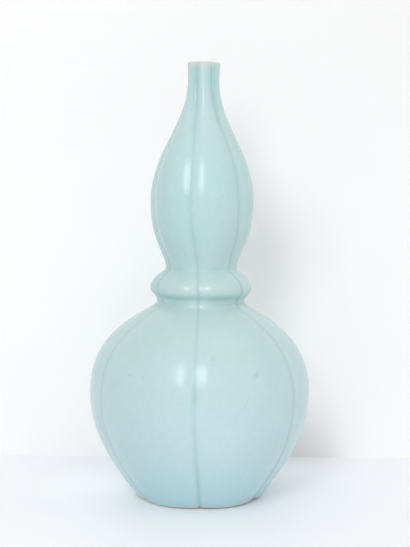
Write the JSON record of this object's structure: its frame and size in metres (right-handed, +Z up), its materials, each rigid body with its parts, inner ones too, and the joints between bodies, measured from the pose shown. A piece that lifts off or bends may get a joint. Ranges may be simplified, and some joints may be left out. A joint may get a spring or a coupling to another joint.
{
  "type": "gourd vase",
  "caption": "Lobed double-gourd vase with a collared waist, a slim straight neck and a recessed base on a scalloped foot, holding water and a few flower stems.",
  "frame": {"origin": "centre of the foot's standing edge, on the surface that the vase stands on", "axes": "+Z up along the axis of the vase; -Y is the side that the picture shows, with a groove facing -Y at the foot"},
  "size_m": [0.2028, 0.1996, 0.4],
  "materials": {
    "celadon_glaze": "soft satin gloss, pale blue-green, a little deeper in the grooves and cream where it thins at the lip",
    "bare_clay": "matt fired clay, grey-brown, left bare at the foot edge"
  },
  "bodies": {
    "root": {"foot_ring": "celadon_glaze", "base_floor": "celadon_glaze", "floor_slip": "bare_clay", "foot_slip": "bare_clay", "lower_bulb_bottom": "celadon_glaze", "belly_slip": "bare_clay", "lower_bulb_top": "celadon_glaze", "shoulder_slip": "bare_clay", "waist_collar": "celadon_glaze", "waist_slip": "bare_clay", "upper_bulb_bottom": "celadon_glaze", "bulb_slip": "bare_clay", "upper_bulb_top": "celadon_glaze", "neck_slip": "bare_clay", "neck": "celadon_glaze"}
  },
  "joints": []
}
